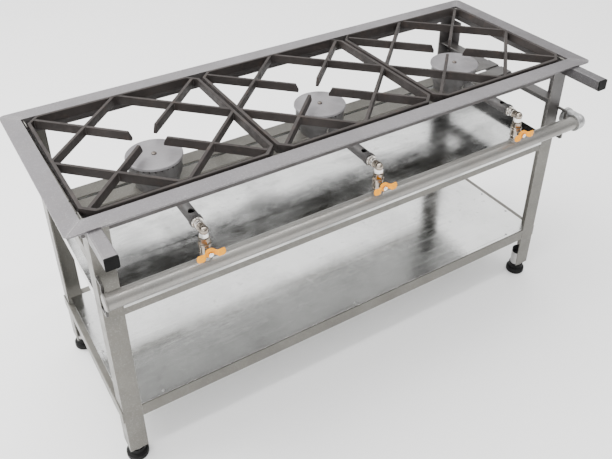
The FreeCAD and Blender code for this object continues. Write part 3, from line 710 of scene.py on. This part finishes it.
def make_cap_screw(bm, site):
    """Pan-head screw with a slot, left proud on the burner cap."""
    half_slot = 0.55               # in mm, as are the head's radii and heights
    arc_steps = 12
    turn = Matrix.Rotation(0.6, 3, "Z")
    cap = "burner_cap_" + site
    seat = Vector((middle(cap, 0), middle(cap, 1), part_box(cap)[1][2]))
    for side in (-1, 1):
        rows = []
        for r, z in ((5.5, 0.0), (5.5, 1.5), (5.0, 2.4), (3.9, 3.1), (2.4, 3.5)):
            reach = math.sqrt(r * r - half_slot * half_slot)
            ring = []
            for k in range(arc_steps + 1):
                angle = -math.pi / 2 + math.pi * k / arc_steps
                point = Vector((max(r * math.cos(angle), half_slot) * side,
                                reach * math.sin(angle), z))
                ring.append(seat + turn @ point * MM)
            rows.append(ring)
        skin(bm, rows)
    for radius, bottom, top, steps in ((5.4, -2.0, 1.4, 24), (2.9, -18.0, 0.0, 16)):
        lathe(bm, [(0.2 * MM, bottom * MM), (radius * MM, bottom * MM), (radius * MM, top * MM),
                   (0.2 * MM, top * MM)], seat, (0, 0, 1), steps)


for site in SITES:
    make_handle(site)
    make_collars(site)
    make_elbow_nut(site)
    make_grate_welds(site)

screws = bmesh.new()
for site in SITES:
    make_cap_screw(screws, site)
screws = add_piece("cap_screw_heads", screws, SCREW_STEEL, "stand", 30.0)
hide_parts("cap_screws")


def weld_burners(bm, pipe_y, pipe_z, pipe_radius):
    """Beads round each valve boss on the pipe and round each mixing tube at its bowl."""
    ring_steps = 28
    tube_weld_radius = 12.6 * MM
    tube_weld_reach = 52.5 * MM    # from the burner's middle to the bowl's wall
    boss_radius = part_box("valve_bosses")[1][1] - pipe_y
    for site in SITES:
        x = middle("outlet_elbow_" + site, 0)
        points = []
        for k in range(ring_steps):
            angle = 2 * math.pi * k / ring_steps
            dx, dy = boss_radius * math.cos(angle), boss_radius * math.sin(angle)
            points.append((x + dx, pipe_y + dy,
                           pipe_z + math.sqrt(pipe_radius ** 2 - dy ** 2) + 0.3 * MM))
        bead(bm, points, 2.3 * MM, closed=True)
        tube_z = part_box("outlet_elbow_" + site)[1][2] - TUBE_AXIS_DROP
        bowl_y = middle("burner_cap_" + site, 1)
        bead(bm, circle((x, bowl_y - tube_weld_reach, tube_z), (0, 1, 0), tube_weld_radius),
             2.4 * MM, closed=True)


def weld_corner(bm, name, sx, pipe_y, pipe_z, pipe_radius):
    """Beads at the front and rear leg on one side: straps, rails, arm and top frame."""
    leg_low, leg_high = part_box("leg_front_" + name)
    outer_x = leg_low[0] if sx < 0 else leg_high[0]
    inner_x = leg_high[0] if sx < 0 else leg_low[0]
    face_y = leg_low[1]
    # Straps to the leg, and the pipe to the straps
    strap_low, strap_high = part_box("pipe_brackets")
    for z in (strap_low[2] + 0.3 * MM, strap_high[2] - 0.3 * MM):
        bead(bm, [(outer_x - sx * 0.5 * MM, face_y, z), (outer_x - sx * 6.0 * MM, face_y, z)],
             2.0 * MM)
    strap_x = outer_x - sx * 6.3 * MM
    pipe_side = pipe_radius * 0.75
    for z in (pipe_z - pipe_side, pipe_z + pipe_side):
        bead(bm, [(strap_x, pipe_y + pipe_side, z - 4 * MM),
                  (strap_x, pipe_y + pipe_side, z + 4 * MM)], 2.2 * MM)
    # Middle and lower front rails to the leg
    for rail in ("mid_rail_front", "lower_rail_front"):
        low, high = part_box(rail)
        end = low[0] if sx < 0 else high[0]
        inset = (high[2] - low[2]) * 0.08
        face = low[1] + 0.4 * MM
        crest = high[2] - 0.2 * MM
        bead(bm, [(end, face, low[2] + inset), (end, face, high[2] - inset)], 1.7 * MM)
        bead(bm, [(end, low[1] + 2 * MM, crest), (end, low[1] + 22 * MM, crest)], 1.6 * MM)
    # Side arm to the leg
    arm_low, arm_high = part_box("side_arm_" + name)
    for x in (arm_low[0], arm_high[0]):
        if abs(inner_x) < abs(x) < abs(outer_x):
            bead(bm, [(x, face_y - 0.3 * MM, arm_low[2] + 2 * MM),
                      (x, face_y - 0.3 * MM, arm_high[2] - 2 * MM)], 1.7 * MM)
    # Legs to the underside of the top frame
    for leg in ("leg_front_", "leg_rear_"):
        low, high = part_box(leg + name)
        x = low[0] if sx < 0 else high[0]
        top = high[2] - 0.6 * MM
        bead(bm, [(x, low[1] + 3 * MM, top), (x, high[1] - 3 * MM, top)], 1.8 * MM)


def make_stand_welds():
    """Weld beads that hold the stand together."""
    bm = bmesh.new()
    pipe_low, pipe_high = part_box("gas_manifold")
    pipe_y, pipe_z = middle("gas_manifold", 1), middle("gas_manifold", 2)
    pipe_radius = (pipe_high[2] - pipe_low[2]) / 2
    weld_burners(bm, pipe_y, pipe_z, pipe_radius)
    bead(bm, circle((pipe_low[0], pipe_y, pipe_z), (1, 0, 0), pipe_radius - 0.3 * MM),
         1.6 * MM, closed=True)
    for sx, name in ((-1, "left"), (1, "right")):
        weld_corner(bm, name, sx, pipe_y, pipe_z, pipe_radius)
    add_piece("stand_welds", bm, WELD, "stand", 50.0)


make_stand_welds()

# ---------------------------------------------------------------- camera, floor and light
SENSOR_WIDTH = 36.0                                  # mm
FOCAL_LENGTH = 43.363                                # mm
LENS_SHIFT = (0.0101, -0.1202)
CAMERA_PLACE = (-0.8127, -1.2306, 1.4697)            # m
CAMERA_TURN = (0.99652, 0.00404, -0.54942)           # radians
FLOOR_HALF = 14.0                                    # m
LIGHT_COMES_FROM = (-0.42, 0.50, 0.76)               # the room's brightest direction
ROOM_DIM, ROOM_BRIGHT = 0.30, 2.35
ROOM_FADE = (-0.75, 0.85)
WARM_WHITE = (1.0, 0.99, 0.975)

camera_data = bpy.data.cameras.new("camera")
camera_data.sensor_width = SENSOR_WIDTH
camera_data.lens = FOCAL_LENGTH
camera_data.shift_x, camera_data.shift_y = LENS_SHIFT
camera = bpy.data.objects.new("camera", camera_data)
camera.location = CAMERA_PLACE
camera.rotation_euler = CAMERA_TURN
scene.collection.objects.link(camera)
scene.camera = camera

floor_mesh = bpy.data.meshes.new("floor")
floor_corners = [(x * FLOOR_HALF, y * FLOOR_HALF, 0)
                 for x, y in ((-1, -1), (1, -1), (1, 1), (-1, 1))]
floor_mesh.from_pydata(floor_corners, [], [(0, 1, 2, 3)])
floor = bpy.data.objects.new("floor", floor_mesh)
scene.collection.objects.link(floor)
floor_look = Graph("floor_m", 0.0, 0.6)
floor_tone = floor_look.ramp(floor_look.noise(0.8), [(0.2, (0.93, 0.93, 0.93)),
                                                    (0.8, (0.95, 0.95, 0.948))])
floor_mesh.materials.append(floor_look.done(floor_tone))


def studio_world(towards, dim, bright):
    """A plain white room, brighter overhead and behind the stand than at the operator's side."""
    world = bpy.data.worlds.new("studio")
    world.use_nodes = True
    tree = world.node_tree
    direction = tree.nodes.new("ShaderNodeTexCoord").outputs["Generated"]
    dot = tree.nodes.new("ShaderNodeVectorMath")
    dot.operation = "DOT_PRODUCT"
    dot.inputs[1].default_value = Vector(towards).normalized()
    tree.links.new(direction, dot.inputs[0])
    fade = tree.nodes.new("ShaderNodeMapRange")
    fade.interpolation_type = "SMOOTHSTEP"
    fade.inputs["From Min"].default_value = ROOM_FADE[0]
    fade.inputs["From Max"].default_value = ROOM_FADE[1]
    fade.inputs["To Min"].default_value = dim
    fade.inputs["To Max"].default_value = bright
    tree.links.new(dot.outputs["Value"], fade.inputs["Value"])
    tree.nodes["Background"].inputs["Color"].default_value = (1.0, 1.0, 1.0, 1.0)
    tree.links.new(fade.outputs["Result"], tree.nodes["Background"].inputs["Strength"])
    scene.world = world


def softbox(name, place, target, width, height, power, colour=(1.0, 1.0, 1.0)):
    """A rectangular lamp at a place, aimed at the target."""
    data = bpy.data.lights.new(name, "AREA")
    data.shape = "RECTANGLE"
    data.size = width
    data.size_y = height
    data.energy = power
    data.color = colour
    lamp = bpy.data.objects.new(name, data)
    lamp.location = place
    lamp.rotation_euler = (Vector(target) - Vector(place)).to_track_quat("-Z", "Y").to_euler()
    scene.collection.objects.link(lamp)


studio_world(LIGHT_COMES_FROM, ROOM_DIM, ROOM_BRIGHT)
softbox("key", (-1.7, 1.3, 3.4), (0, 0, 0.4), 2.4, 2.0, 145.0, WARM_WHITE)
softbox("front", (-1.9, -3.3, 1.9), (-0.2, 0, 0.35), 1.6, 1.4, 22.0)
softbox("strip", (0.0, -0.75, 3.3), (0.0, -0.3, 0.5), 4.2, 0.22, 42.0)

bpy.context.view_layer.update()
